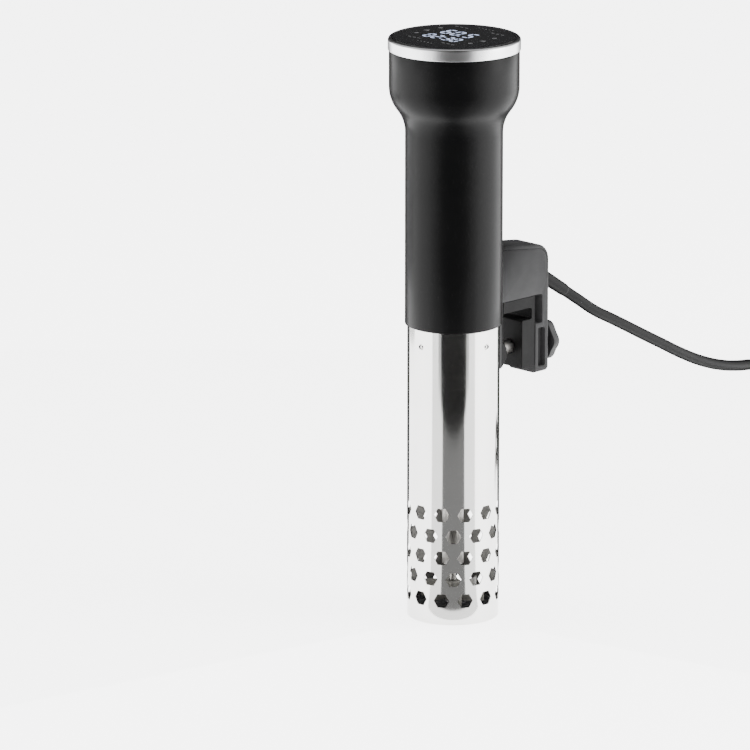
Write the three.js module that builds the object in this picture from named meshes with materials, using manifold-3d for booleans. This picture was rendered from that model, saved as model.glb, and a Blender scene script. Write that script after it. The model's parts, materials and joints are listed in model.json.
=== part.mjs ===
// Sous vide circulator: clamp-on water heater and pump with a pull-off steel sleeve.
// Millimetres, +Z up. The origin is the centre of the base, on the tube's axis. The display
// faces -Y, and the clamp and the mains cord are at the back, +Y.
import * as THREE from 'three';
import * as BufferGeometryUtils from 'three/addons/utils/BufferGeometryUtils.js';
import Module from 'manifold-3d';

const wasm = await Module();
wasm.setup();

// ---- Driving dimensions ----
const GAP = 0.3;
const SLEEVE_R = 29.8;
const SLEEVE_WALL = 0.8;
const BODY_R = 31.4;
const BODY_WALL = 2.4;
const HEAD_R = 41.8;
const RING_R = 42.5;
const GLASS_R = 39.7;
const TOP_Z = 382;
const RING_Z = 373.2;
const HEAD_Z = 349.5;
const NECK_Z = 319.6;
const BODY_Z = 194;
const NECK_ARC_R = 24;
const NECK_ANGLE = THREE.MathUtils.degToRad(36);

const HOLE_FLATS = 9;
const HOLES_ROUND = 12;
const HOLE_ROWS = [16, 30.3, 44.6, 58.9, 73.2];

const CLAMP_HALF = 12;
const CLAMP_TOP = 242;
const CLAMP_FALL = 5.6;
const CLAMP_CORNER = 11;
const ROOF_Z = 203.3;
const LINER = 3.1;
const LINER_DROP = 7.8;
const LINER_BACK = 63.5;
const LINER_LOW = 156;
const BLOCK_FACE = 51.5;
const BLOCK_TOP = 188;
const SLOT_BACK = 70.1;
const SLOT_LOW = 184;
const LEG_BACK = 76.9;
const LEG_END = 151;
const POCKET_FRONT = 66.2;
const POCKET_BACK = 72.8;
const POCKET_LOW = 155;
const POCKET_TOP = 181;
const POCKET_FLOOR = 8;
const JAW_FRONT = 30.3;
const JAW_PLATE = 1.9;
const JAW_LOW = 160;
const JAW_RIDGE = 37.3;
const RIDGE_HALF = 3.5;
const SCREW_Z = 169.3;
const SCREW_R = 4.4;
const PAD_FRONT = 40.6;
const PAD_R = 5.2;
const INSERT_R = 6.5;
const KNOB_R = 14;
const KNOB_LOBE = 1.3;
const KNOB_Y = 79.5;
const KNOB_DEPTH = 5.6;

const SHAFT_R = 2;
const SEAT_Z = 185.7;
const HEATER_R = 2.2;
const COIL_TOP = 168;
const COIL_LOW = 104;
const PROBE_REACH = 25.4;

const CORD_D = 7.4;
const RELIEF_R = 4.9;
const RELIEF_LENGTH = 31.3;
const EXIT = new THREE.Vector3(0, LEG_BACK + GAP, 214.35);
const EXIT_FALL = THREE.MathUtils.degToRad(32.3);
const DUCT_Z = 222;
const DUCT_R = 3.4;
const COIL_CENTRE = new THREE.Vector2(11.9, 427);
const COIL_R = 41;
const PLUG_R = 11;
const PLUG_LENGTH = 36;
const PLUG_Z = 11;
const PLUG_TAIL = 58;

// The cord's free stretch, from the end of its strain relief to its coil.
const ROUTE = [
  [0, 103.9, 197.4], [0, 116.2, 189.5], [-0.4, 133, 178.9], [-1.1, 149.1, 170.8],
  [-2, 164.7, 162.9], [-3.2, 180.7, 154.7], [-5.2, 202.7, 143.7], [-8, 225.6, 132.4],
  [-11.5, 249.4, 122.2], [-15.8, 274.2, 114], [-19.8, 295, 109.1], [-24.4, 316.6, 105],
  [-26.9, 327.6, 101], [-28.5, 336.8, 93.6], [-29.5, 343.4, 83.7], [-30.2, 348.3, 72.7],
  [-30.8, 353.1, 61.8], [-31.3, 358, 50.8], [-31.8, 362.8, 39.8], [-32.2, 368.1, 29.1],
  [-32.6, 375.9, 20.1], [-32.8, 386.2, 14], [-32.8, 400, 11.3],
].map(([x, y, z]) => new THREE.Vector3(x, y, z));

// ---- Materials ----
const finish = (color, roughness, metalness) =>
  new THREE.MeshStandardMaterial({ color, roughness, metalness });
const satinBlack = finish(0x17181a, 0.45, 0);
const matteGrey = finish(0x3b3b3d, 0.65, 0);
const rubber = finish(0x202124, 0.8, 0);
const steel = finish(0xc9cacb, 0.18, 1);
const satinMetal = finish(0xd4d6d9, 0.3, 1);
const blackGlass = finish(0x060709, 0.05, 0);
const board = finish(0x1d5a38, 0.5, 0);
const brass = finish(0xb9974f, 0.3, 1);
const nylon = finish(0xd9d7cf, 0.6, 0);
const aluminium = finish(0xaeb1b4, 0.4, 1);
const darkPart = finish(0x26282c, 0.5, 0);

const group = new THREE.Group();

// ---- Helpers ----
function addMesh(name, geometry, material) {
  const mesh = new THREE.Mesh(geometry, material);
  mesh.name = name;
  group.add(mesh);
  return mesh;
}

function merged(geometry) {
  const bare = geometry.index ? geometry.toNonIndexed() : geometry.clone();
  bare.deleteAttribute('normal');
  bare.deleteAttribute('uv');
  return BufferGeometryUtils.mergeVertices(bare, 1e-4);
}

function solid(geometry) {
  const closed = merged(geometry);
  return new wasm.Manifold(new wasm.Mesh({
    numProp: 3,
    vertProperties: new Float32Array(closed.attributes.position.array),
    triVerts: new Uint32Array(closed.index.array),
  }));
}

function fromSolid(body) {
  const mesh = body.getMesh();
  const geometry = new THREE.BufferGeometry();
  geometry.setAttribute('position', new THREE.BufferAttribute(mesh.vertProperties, 3));
  geometry.setIndex(new THREE.BufferAttribute(mesh.triVerts, 1));
  geometry.computeVertexNormals();
  return geometry;
}

// A profile of [radius, height] points turned about Z. Its ends are on the axis or it closes.
function turned(profile, segments = 32) {
  const points = profile.map(([r, z]) => new THREE.Vector2(r, z));
  return new THREE.LatheGeometry(points, segments).rotateX(Math.PI / 2);
}

function disc(radius, low, high, segments = 32) {
  return turned([[0, low], [radius, low], [radius, high], [0, high]], segments);
}

function ring(inner, outer, low, high, segments = 32) {
  return turned([[inner, low], [outer, low], [outer, high], [inner, high], [inner, low]], segments);
}

function rod(radius, x, y, low, high, segments = 12) {
  return disc(radius, low, high, segments).translate(x, y, 0);
}

// A box from its lowest to its highest corner.
function block([x0, y0, z0], [x1, y1, z1]) {
  const box = new THREE.BoxGeometry(x1 - x0, y1 - y0, z1 - z0);
  return box.translate((x0 + x1) / 2, (y0 + y1) / 2, (z0 + z1) / 2);
}

// An outline in the YZ plane, made as thick as twice half along X.
function slab(shape, half) {
  const extruded = new THREE.ExtrudeGeometry(shape, {
    depth: 2 * half, bevelEnabled: false, curveSegments: 6,
  });
  return extruded.translate(0, 0, -half).applyMatrix4(
    new THREE.Matrix4().makeBasis(
      new THREE.Vector3(0, 1, 0), new THREE.Vector3(0, 0, 1), new THREE.Vector3(1, 0, 0)));
}

function outline(points) {
  return new THREE.Shape(points.map(([y, z]) => new THREE.Vector2(y, z)));
}

// A solid of revolution along +Y, at height z, from a profile made about Z.
const alongY = (geometry, z) => geometry.rotateX(-Math.PI / 2).translate(0, 0, z);

// A rod of any section along a curve.
function swept(curve, radius, sides, steps) {
  const section = new THREE.Shape();
  for (let i = 0; i < sides; i += 1) {
    const angle = (2 * Math.PI * i) / sides;
    const point = [radius * Math.cos(angle), radius * Math.sin(angle)];
    if (i === 0) section.moveTo(...point);
    else section.lineTo(...point);
  }
  section.closePath();
  return new THREE.ExtrudeGeometry(section, { steps, bevelEnabled: false, extrudePath: curve });
}

// ---- Body ----
function neckOutline(inset) {
  const steps = 3;
  const lower = [];
  const upper = [];
  for (let i = 0; i <= steps; i += 1) {
    const a = (NECK_ANGLE * i) / steps;
    const outward = NECK_ARC_R * (1 - Math.cos(a));
    const along = NECK_ARC_R * Math.sin(a);
    lower.push([BODY_R - inset + outward, NECK_Z + along]);
    upper.unshift([HEAD_R - inset - outward, HEAD_Z - along]);
  }
  return [...lower, ...upper];
}

// The way the cord takes from inside the body, through the bracket, to its strain relief.
function cordDuct() {
  return swept(new THREE.CatmullRomCurve3([
    [20, DUCT_Z], [40, DUCT_Z], [56, DUCT_Z], [67, DUCT_Z - 2.6], [EXIT.y + 3, EXIT.z - 1.6],
  ].map(([y, z]) => new THREE.Vector3(0, y, z))), DUCT_R, 10, 8);
}

function makeHousing() {
  const inner = neckOutline(BODY_WALL).reverse();
  const profile = [
    [BODY_R - BODY_WALL, BODY_Z], [BODY_R, BODY_Z], ...neckOutline(0), [HEAD_R, RING_Z],
    [HEAD_R - BODY_WALL, RING_Z], ...inner, [BODY_R - BODY_WALL, BODY_Z],
  ];
  const shell = solid(turned(profile, 40)).subtract(solid(cordDuct()));
  addMesh('housing_shell', fromSolid(shell), satinBlack);
}

function makeTop() {
  const low = RING_Z + GAP;
  addMesh('bezel_ring', turned([
    [40.1, low], [RING_R, low], [RING_R, TOP_Z - 1.2], [RING_R - 1, TOP_Z], [40.1, TOP_Z], [40.1, low],
  ], 48), satinMetal);
  addMesh('display_glass', disc(GLASS_R, TOP_Z - 3.6, TOP_Z - 0.8, 48), blackGlass);
  addMesh('display_gasket', ring(35, 39.4, TOP_Z - 5, TOP_Z - 3.9, 36), rubber);
  addMesh('led_display', block([-17, -10, TOP_Z - 6.2], [17, 10, TOP_Z - 4]), darkPart);
  addMesh('display_board', disc(36.5, TOP_Z - 8.2, TOP_Z - 6.6, 36), board);
}

// ---- Electronics, above the motor ----
function makeElectronics() {
  const shelf = solid(disc(36, 366.8, 369.3, 36));
  const spine = solid(block([-22, 6, 264], [22, 8.4, 367.5]));
  const foot = solid(disc(28, 262, 264.6, 36));
  addMesh('inner_frame', fromSolid(shelf.add(spine).add(foot)), nylon);
  addMesh('power_board', block([-20, 1.8, 272], [20, 3.4, 356]), board);
  addMesh('transformer', block([-11, -16, 276], [11, 1.5, 296]), darkPart);
  addMesh('relay', block([-16, -12, 332], [-2, 1.5, 350]), darkPart);
  addMesh('capacitor', rod(6, -10, -6, 302, 326, 16), darkPart);
  const fins = [4, 8, 12, 16].map((x) => solid(block([x, -13, 302], [x + 1.6, -0.5, 348])));
  const web = solid(block([4, -1.5, 302], [17.6, 1.5, 348]));
  addMesh('heat_sink', fromSolid(fins.reduce((a, b) => a.add(b), web)), aluminium);
}

// ---- Drive: the turning parts and what holds them ----
function blades(hub, count, inner, outer, low, high, thick) {
  let body = solid(hub);
  for (let i = 0; i < count; i += 1) {
    const blade = block([inner, -thick / 2, low], [outer, thick / 2, high]);
    blade.rotateZ((2 * Math.PI * i) / count);
    body = body.add(solid(blade));
  }
  return fromSolid(body);
}

function makeDrive() {
  const bore = SHAFT_R + GAP;
  addMesh('drive_shaft', disc(SHAFT_R, 8.5, 212, 12), steel);
  addMesh('motor_shaft', disc(SHAFT_R, 212.6, 256, 12), steel);
  addMesh('shaft_coupling', ring(bore, 5.5, 208, 217, 20), aluminium);
  addMesh('impeller', blades(ring(bore, 5, 9, 22, 20), 6, 4, 21, 10, 21, 1.4), nylon);
  addMesh('cooling_fan', blades(ring(bore, 6, 249, 254, 20), 7, 5, 19, 249.6, 253.6, 1.2), darkPart);
  addMesh('motor_bracket', ring(7, 28.6, 218.3, 220.6, 36), aluminium);
  addMesh('motor_body', ring(2.8, 18, 220.9, 246, 32), steel);
  addMesh('upper_bearing', ring(bore, 7.7, 203, 206.7, 24), steel);
  addMesh('shaft_seal', ring(bore, 6, 186.6, 191.4, 24), rubber);
  addMesh('shaft_guard_tube', ring(6, 7, 34, SEAT_Z, 24), steel);
  addMesh('lower_bush', ring(bore, 5.7, 35, 43, 24), nylon);
}

// The wall between the wet sleeve and the dry body, with its seal groove and shaft bore.
function makePartition() {
  addMesh('partition_flange', turned([
    [6.3, 186], [28.7, 186], [28.7, 188], [27.1, 188], [27.1, 190.6], [28.7, 190.6], [28.7, 206],
    [8, 206], [8, 202.6], [2.6, 202.6], [2.6, 192], [6.3, 192], [6.3, 186],
  ], 36), nylon);
  addMesh('flange_seal', ring(27.4, 28.8, 188.3, 190.3, 36), rubber);
}

function makeHeater() {
  const radius = 20;
  const turns = 3;
  const steps = 36;
  const points = [new THREE.Vector3(radius, 0, SEAT_Z), new THREE.Vector3(radius, 0, COIL_TOP + 10)];
  for (let i = 0; i <= steps; i += 1) {
    const a = (2 * Math.PI * turns * i) / steps;
    const z = COIL_TOP + ((COIL_LOW - COIL_TOP) * i) / steps;
    points.push(new THREE.Vector3(radius * Math.cos(a), radius * Math.sin(a), z));
  }
  const winding = swept(new THREE.CatmullRomCurve3(points), HEATER_R, 8, 54);
  const returnLeg = swept(new THREE.CatmullRomCurve3([
    [radius, 0.4, COIL_LOW], [17, 7, COIL_LOW - 3], [12.6, 11, COIL_LOW],
    [12, 11.4, COIL_LOW + 8], [12, 11.4, SEAT_Z],
  ].map((point) => new THREE.Vector3(...point))), HEATER_R, 8, 10);
  addMesh('heater_coil', fromSolid(solid(winding).add(solid(returnLeg))), steel);
}

function makeProbes() {
  const probe = (name, degrees, radius, low) => {
    const a = THREE.MathUtils.degToRad(degrees);
    const geometry = turned([
      [0, low], [radius * 0.7, low + 0.5], [radius, low + 2], [radius, SEAT_Z], [0, SEAT_Z],
    ], 12);
    addMesh(name, geometry.translate(PROBE_REACH * Math.cos(a), PROBE_REACH * Math.sin(a), 0), steel);
  };
  probe('temperature_probe', 150, 1.8, 62);
  probe('low_level_probe', 200, 1.3, 90);
  probe('high_level_probe', 250, 1.3, 140);
}

// ---- Sleeve: pulls off downwards ----
function hexHole(height, angle) {
  const corner = HOLE_FLATS / Math.sqrt(3);
  const bar = new THREE.CylinderGeometry(corner, corner, 8, 6).rotateZ(Math.PI / 2).rotateX(Math.PI / 6);
  return solid(bar.translate(SLEEVE_R, 0, 0).rotateZ(angle).translate(0, 0, height));
}

function makeSleeve() {
  const top = BODY_Z - GAP;
  let tube = solid(ring(SLEEVE_R - SLEEVE_WALL, SLEEVE_R, 0, top, 48));
  const step = (2 * Math.PI) / HOLES_ROUND;
  const cuts = HOLE_ROWS.flatMap((height, row) =>
    Array.from({ length: HOLES_ROUND }, (_, i) => hexHole(height, step * (i + (row % 2) / 2))));
  tube = tube.subtract(wasm.Manifold.union(cuts));
  addMesh('perforated_sleeve', fromSolid(tube), steel);
  const capR = SLEEVE_R - SLEEVE_WALL - GAP;
  addMesh('base_cap', turned([
    [0, 0], [capR, 0], [capR, 7], [capR - 2, 7], [capR - 2, 3.5], [0, 3.5],
  ], 36), darkPart);
}

// ---- Clamp ----
function bracketOutline() {
  const cornerY = LEG_BACK - CLAMP_CORNER;
  const cornerZ = CLAMP_TOP - CLAMP_FALL - CLAMP_CORNER;
  const shape = new THREE.Shape();
  shape.moveTo(20, CLAMP_TOP);
  shape.lineTo(20, ROOF_Z);
  shape.lineTo(JAW_FRONT, ROOF_Z);
  shape.lineTo(JAW_FRONT, JAW_LOW);
  shape.lineTo(JAW_FRONT + JAW_PLATE, JAW_LOW);
  shape.lineTo(JAW_FRONT + JAW_PLATE, ROOF_Z);
  shape.lineTo(SLOT_BACK, ROOF_Z);
  shape.lineTo(SLOT_BACK, SLOT_LOW);
  shape.lineTo(LINER_BACK + GAP, SLOT_LOW);
  shape.lineTo(LINER_BACK + GAP, LEG_END + 4);
  shape.lineTo(LINER_BACK + 3, LEG_END);
  shape.lineTo(LEG_BACK, LEG_END);
  shape.lineTo(LEG_BACK, cornerZ);
  shape.absarc(cornerY, cornerZ, CLAMP_CORNER, 0, Math.PI / 2, false);
  return shape;
}

function makeBracket() {
  const pocket = (x0, x1) => solid(block(
    [x0, POCKET_FRONT, POCKET_LOW], [x1, POCKET_BACK, POCKET_TOP]));
  const body = solid(slab(bracketOutline(), CLAMP_HALF))
    .subtract(solid(disc(BODY_R + GAP, BODY_Z - 0.1, 260, 48)))
    .subtract(pocket(POCKET_FLOOR, CLAMP_HALF + 1))
    .subtract(pocket(-CLAMP_HALF - 1, -POCKET_FLOOR))
    .subtract(solid(alongY(disc(INSERT_R + GAP, 50, 90, 16), SCREW_Z)))
    .subtract(solid(cordDuct()));
  addMesh('clamp_bracket', fromSolid(body), matteGrey);
}

function makeJaws() {
  const half = CLAMP_HALF - GAP;
  const top = ROOF_Z - GAP;
  const under = ROOF_Z - LINER_DROP;
  const face = LINER_BACK - LINER;
  const padFront = JAW_FRONT + JAW_PLATE + GAP;
  const padBack = padFront + 1.3;
  const linerFront = padBack + GAP;
  const liner = slab(outline([
    [linerFront, top], [linerFront, under], [face, under], [face, BLOCK_TOP],
    [BLOCK_FACE, BLOCK_TOP], [BLOCK_FACE, LINER_LOW], [LINER_BACK, LINER_LOW], [LINER_BACK, top],
  ]), half);
  const hole = alongY(disc(SCREW_R + 1, BLOCK_FACE - 2, LINER_BACK + 2, 16), SCREW_Z);
  addMesh('jaw_liner', fromSolid(solid(liner).subtract(solid(hole))), rubber);
  addMesh('inner_jaw_pad', slab(outline([
    [padFront, top], [padFront, JAW_LOW + 0.5], [padFront + 0.8, JAW_LOW + 0.5],
    [JAW_RIDGE, SCREW_Z - RIDGE_HALF], [JAW_RIDGE, SCREW_Z + RIDGE_HALF],
    [padBack, SCREW_Z + 2 * RIDGE_HALF], [padBack, top],
  ]), half), rubber);
  const insert = ring(SCREW_R + GAP, INSERT_R, LINER_BACK + 0.7, LEG_BACK - GAP, 16);
  addMesh('thread_insert', alongY(insert, SCREW_Z), brass);
}

function knobOutline() {
  const shape = new THREE.Shape();
  const steps = 48;
  const lobes = 6;
  for (let i = 0; i < steps; i += 1) {
    const a = (2 * Math.PI * i) / steps;
    const r = KNOB_R - (KNOB_LOBE * (1 - Math.cos(lobes * a))) / 2;
    const point = [r * Math.cos(a), r * Math.sin(a)];
    if (i === 0) shape.moveTo(...point);
    else shape.lineTo(...point);
  }
  shape.closePath();
  return shape;
}

function makeScrew() {
  addMesh('pressure_pad', alongY(disc(PAD_R, PAD_FRONT, PAD_FRONT + 3, 20), SCREW_Z), rubber);
  const screwEnd = KNOB_Y + KNOB_DEPTH - 2.5;
  addMesh('clamp_screw', alongY(disc(SCREW_R, PAD_FRONT + 3 + GAP, screwEnd, 16), SCREW_Z), steel);
  const knob = new THREE.ExtrudeGeometry(knobOutline(), { depth: KNOB_DEPTH, bevelEnabled: false });
  const placed = solid(knob.rotateX(-Math.PI / 2).translate(0, KNOB_Y, SCREW_Z));
  const socket = solid(alongY(disc(SCREW_R + GAP, KNOB_Y - 2, screwEnd + GAP, 16), SCREW_Z));
  addMesh('clamp_knob', fromSolid(placed.subtract(socket)), darkPart);
  const back = KNOB_Y + KNOB_DEPTH;
  addMesh('knob_cap', alongY(disc(6.5, back + GAP, back + 1.3, 20), SCREW_Z), darkPart);
}

// ---- Cord ----
// A turned piece whose own +Z is laid along a direction, from a start point.
function aimed(geometry, start, direction) {
  const turn = new THREE.Quaternion().setFromUnitVectors(new THREE.Vector3(0, 0, 1), direction);
  return geometry.applyQuaternion(turn).translate(start.x, start.y, start.z);
}

function makeCord() {
  const fall = new THREE.Vector3(0, Math.cos(EXIT_FALL), -Math.sin(EXIT_FALL));
  const relief = turned([
    [0, 0.6], [RELIEF_R, 0.6], [RELIEF_R - 0.3, 10], [RELIEF_R - 0.8, RELIEF_LENGTH - 1],
    [RELIEF_R - 1.1, RELIEF_LENGTH], [0, RELIEF_LENGTH],
  ], 16);
  const bracketSide = block([-9, 60, 190], [9, EXIT.y, 230]);
  addMesh('strain_relief', fromSolid(
    solid(aimed(relief, EXIT, fall)).subtract(solid(bracketSide))), rubber);
  addMesh('power_cord', swept(new THREE.CatmullRomCurve3(ROUTE), CORD_D / 2, 8, 60), rubber);
  const half = CORD_D + 0.3;
  const coil = ring(COIL_R - half, COIL_R + half, 0, 2 * half, 40);
  addMesh('cord_coil', coil.translate(COIL_CENTRE.x, COIL_CENTRE.y, 0), rubber);
  const inner = COIL_CENTRE.y + COIL_R - half - 0.8;
  const outer = COIL_CENTRE.y + COIL_R + half + 0.4;
  const high = 2 * half + GAP;
  const band = 1.2;
  addMesh('cord_tie', slab(outline([
    [inner - band, 0], [inner, 0], [inner, high], [outer, high], [outer, 0], [outer + band, 0],
    [outer + band, high + band], [inner - band, high + band],
  ]), 5).translate(COIL_CENTRE.x, 0, 0), rubber);
}

function makePlug() {
  const x = COIL_CENTRE.x + COIL_R + CORD_D / 2;
  const y = COIL_CENTRE.y - PLUG_TAIL;
  const start = new THREE.Vector3(x, y, PLUG_Z);
  const place = (geometry) => aimed(geometry, start, new THREE.Vector3(0, -1, 0));
  addMesh('cord_tail', swept(new THREE.CatmullRomCurve3([
    [30, 6], [23, 7.7], [15, 9.5], [8, 10.7], [3, PLUG_Z], [GAP + 0.1, PLUG_Z],
  ].map(([behind, z]) => new THREE.Vector3(x, y + behind, z))), CORD_D / 2, 8, 6), rubber);
  addMesh('plug_body', place(turned([
    [0, 0], [4.6, 0], [5.4, 14], [9.6, 20], [PLUG_R, 26], [PLUG_R, PLUG_LENGTH], [0, PLUG_LENGTH],
  ], 20)), rubber);
  [-1, 1].forEach((side, i) => {
    const pin = rod(2, 5.5 * side, 0, PLUG_LENGTH + GAP, PLUG_LENGTH + 16, 12);
    addMesh(`plug_pin_${i + 1}`, place(pin), steel);
  });
}

makeHousing();
makeTop();
makeElectronics();
makeDrive();
makePartition();
makeHeater();
makeProbes();
makeSleeve();
makeBracket();
makeJaws();
makeScrew();
makeCord();
makePlug();

export default group;
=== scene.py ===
"""Looks of the sous vide circulator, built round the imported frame. Metres, +Z up, -Y is the front."""
import json
import math

import bmesh
import bpy
from mathutils import Matrix, Vector


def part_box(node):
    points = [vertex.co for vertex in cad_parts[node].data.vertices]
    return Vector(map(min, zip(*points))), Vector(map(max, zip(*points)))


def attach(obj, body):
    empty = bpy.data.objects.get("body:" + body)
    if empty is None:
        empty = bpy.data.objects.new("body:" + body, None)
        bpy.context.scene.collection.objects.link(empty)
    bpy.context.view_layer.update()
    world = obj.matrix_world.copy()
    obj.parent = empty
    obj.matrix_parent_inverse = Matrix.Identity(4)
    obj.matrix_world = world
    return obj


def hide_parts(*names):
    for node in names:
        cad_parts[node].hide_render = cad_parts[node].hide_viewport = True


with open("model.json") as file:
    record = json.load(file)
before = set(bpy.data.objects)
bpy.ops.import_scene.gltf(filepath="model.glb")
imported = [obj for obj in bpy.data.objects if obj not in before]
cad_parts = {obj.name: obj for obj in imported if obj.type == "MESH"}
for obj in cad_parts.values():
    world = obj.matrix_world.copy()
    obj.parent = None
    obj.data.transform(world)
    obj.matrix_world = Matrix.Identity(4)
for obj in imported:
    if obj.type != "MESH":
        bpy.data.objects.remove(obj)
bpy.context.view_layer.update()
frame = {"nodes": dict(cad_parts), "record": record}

MM = 0.001


def span(node, axis):
    """A node's lowest and highest place along one axis, in mm."""
    low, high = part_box(node)
    return low[axis] / MM, high[axis] / MM


# Sizes in mm: first those read from the CAD, then those that its boxes don't give.
SLEEVE_R = span("perforated_sleeve", 0)[1]
SLEEVE_TOP = span("perforated_sleeve", 2)[1]
BODY_LOW = span("housing_shell", 2)[0]
RING_LOW, TOP = span("bezel_ring", 2)
RING_R = span("bezel_ring", 0)[1]
HEAD_R = span("housing_shell", 0)[1]
GLASS_R = span("display_glass", 0)[1]
GLASS_LOW = span("display_glass", 2)[0]
GLASS_FACE = TOP - 0.1
CLAMP_HALF = span("clamp_bracket", 0)[1]
CLAMP_LOW = span("clamp_bracket", 2)[0]
CLAMP_BACK = span("clamp_bracket", 1)[1]
SCREW_Z = sum(span("clamp_screw", 2)) / 2
SCREW_R = span("clamp_screw", 0)[1]
BODY_R = 31.4
BODY_WALL = 2.4
NECK_Z = 319.6  # where the S-curve leaves the body
HEAD_Z = 349.5  # where it meets the head
ARC_R = 24
ARC_ANGLE = math.radians(36)

# ---------------------------------------------------------------- camera
VIEW_AZIMUTH = math.radians(45)
VIEW_ELEVATION = math.radians(14.3)
VIEW_DISTANCE = 4.5
VIEW_TARGET = Vector((-0.0357, -0.0357, 0.1592))
VIEW_WIDTH = 0.4830  # how much of the target's plane the picture spans, in m


def make_camera():
    """The photo's view: from the front right, a little above."""
    flat = math.cos(VIEW_ELEVATION)
    towards = Vector((flat * math.sin(VIEW_AZIMUTH), -flat * math.cos(VIEW_AZIMUTH),
                      math.sin(VIEW_ELEVATION)))
    data = bpy.data.cameras.new("camera")
    camera = bpy.data.objects.new("camera", data)
    bpy.context.collection.objects.link(camera)
    camera.location = VIEW_TARGET + towards * VIEW_DISTANCE
    camera.rotation_euler = (-towards).to_track_quat("-Z", "Y").to_euler()
    data.lens = data.sensor_width * VIEW_DISTANCE / VIEW_WIDTH
    data.clip_end = 100
    bpy.context.scene.camera = camera


make_camera()


# ---------------------------------------------------------------- materials
def material(name, color, roughness, metallic=0.0, grain=None, mottle=None, smudge=None, **sockets):
    """A finish with fine bump (grain), colour variation (mottle) and uneven gloss (smudge).

    grain is (scale, strength, depth in m), mottle is (scale, amount), smudge is (scale, amount).
    """
    made = bpy.data.materials.new(name)
    made.use_nodes = True
    nodes, links = made.node_tree.nodes, made.node_tree.links
    shader = nodes["Principled BSDF"]
    shader.inputs["Base Color"].default_value = (*color, 1)
    shader.inputs["Roughness"].default_value = roughness
    shader.inputs["Metallic"].default_value = metallic
    for socket, value in sockets.items():
        shader.inputs[socket.replace("_", " ")].default_value = value
    place = nodes.new("ShaderNodeTexCoord").outputs["Object"]

    def noise(scale, detail=3.0):
        texture = nodes.new("ShaderNodeTexNoise")
        texture.inputs["Scale"].default_value = scale
        texture.inputs["Detail"].default_value = detail
        links.new(place, texture.inputs["Vector"])
        return texture.outputs["Fac"]

    def ranged(value, low, high):
        mapped = nodes.new("ShaderNodeMapRange")
        mapped.inputs["From Min"].default_value = 0.25
        mapped.inputs["From Max"].default_value = 0.75
        mapped.inputs["To Min"].default_value = low
        mapped.inputs["To Max"].default_value = high
        links.new(value, mapped.inputs["Value"])
        return mapped.outputs["Result"]

    if grain:
        bump = nodes.new("ShaderNodeBump")
        bump.inputs["Strength"].default_value = grain[1]
        bump.inputs["Distance"].default_value = grain[2]
        links.new(noise(grain[0], 4.0), bump.inputs["Height"])
        links.new(bump.outputs["Normal"], shader.inputs["Normal"])
    if mottle:
        mix = nodes.new("ShaderNodeMix")
        mix.data_type = "RGBA"
        dark = [c * (1 - mottle[1]) for c in color]
        light = [min(1, c * (1 + mottle[1])) for c in color]
        mix.inputs[6].default_value = (*dark, 1)
        mix.inputs[7].default_value = (*light, 1)
        links.new(ranged(noise(mottle[0]), 0, 1), mix.inputs["Factor"])
        links.new(mix.outputs[2], shader.inputs["Base Color"])
    if smudge:
        links.new(ranged(noise(smudge[0], 5.0), roughness - smudge[1], roughness + smudge[1]),
                  shader.inputs["Roughness"])
    return made


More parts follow.
